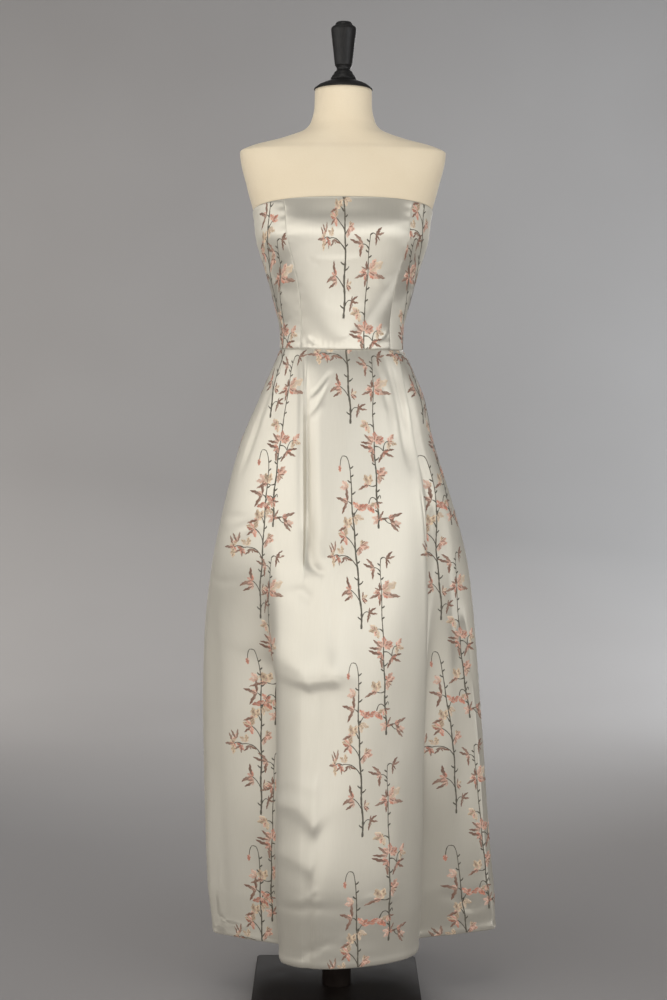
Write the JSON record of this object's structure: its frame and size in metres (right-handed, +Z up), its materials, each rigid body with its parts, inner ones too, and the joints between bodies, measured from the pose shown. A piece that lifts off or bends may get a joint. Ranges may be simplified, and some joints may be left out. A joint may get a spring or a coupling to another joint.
{
  "type": "ball gown on dress form",
  "caption": "Strapless satin ball gown with a fitted princess-seamed bodice and a long pleated skirt, shown on a limbless dress form on a pole and square plate.",
  "frame": {"origin": "on the floor under the middle of the base plate, on the pole's axis", "axes": "+Z up, the gown faces -Y, and the wearer's left is +X"},
  "size_m": [0.5525, 0.4355, 1.797],
  "materials": {
    "satin": "pale silver-ivory duchess satin with a soft sheen, woven with coral and grey-brown flowering branches",
    "form_cover": "matt cream cotton cover",
    "black_wood": "turned wood, black satin lacquer",
    "dark_metal": "dark brown-black paint, half gloss"
  },
  "bodies": {
    "root": {"bodice_centre_front": "satin", "bodice_side_front_left": "satin", "bodice_side_front_right": "satin", "bodice_back_left": "satin", "bodice_back_right": "satin", "zip_lap_bodice": "satin", "zip_lap_skirt": "satin", "skirt_front": "satin", "skirt_back_left": "satin", "skirt_back_right": "satin", "form_torso": "form_cover", "form_neck_cap": "black_wood", "form_finial": "black_wood", "stand_pole": "dark_metal", "stand_base": "dark_metal"}
  },
  "joints": []
}
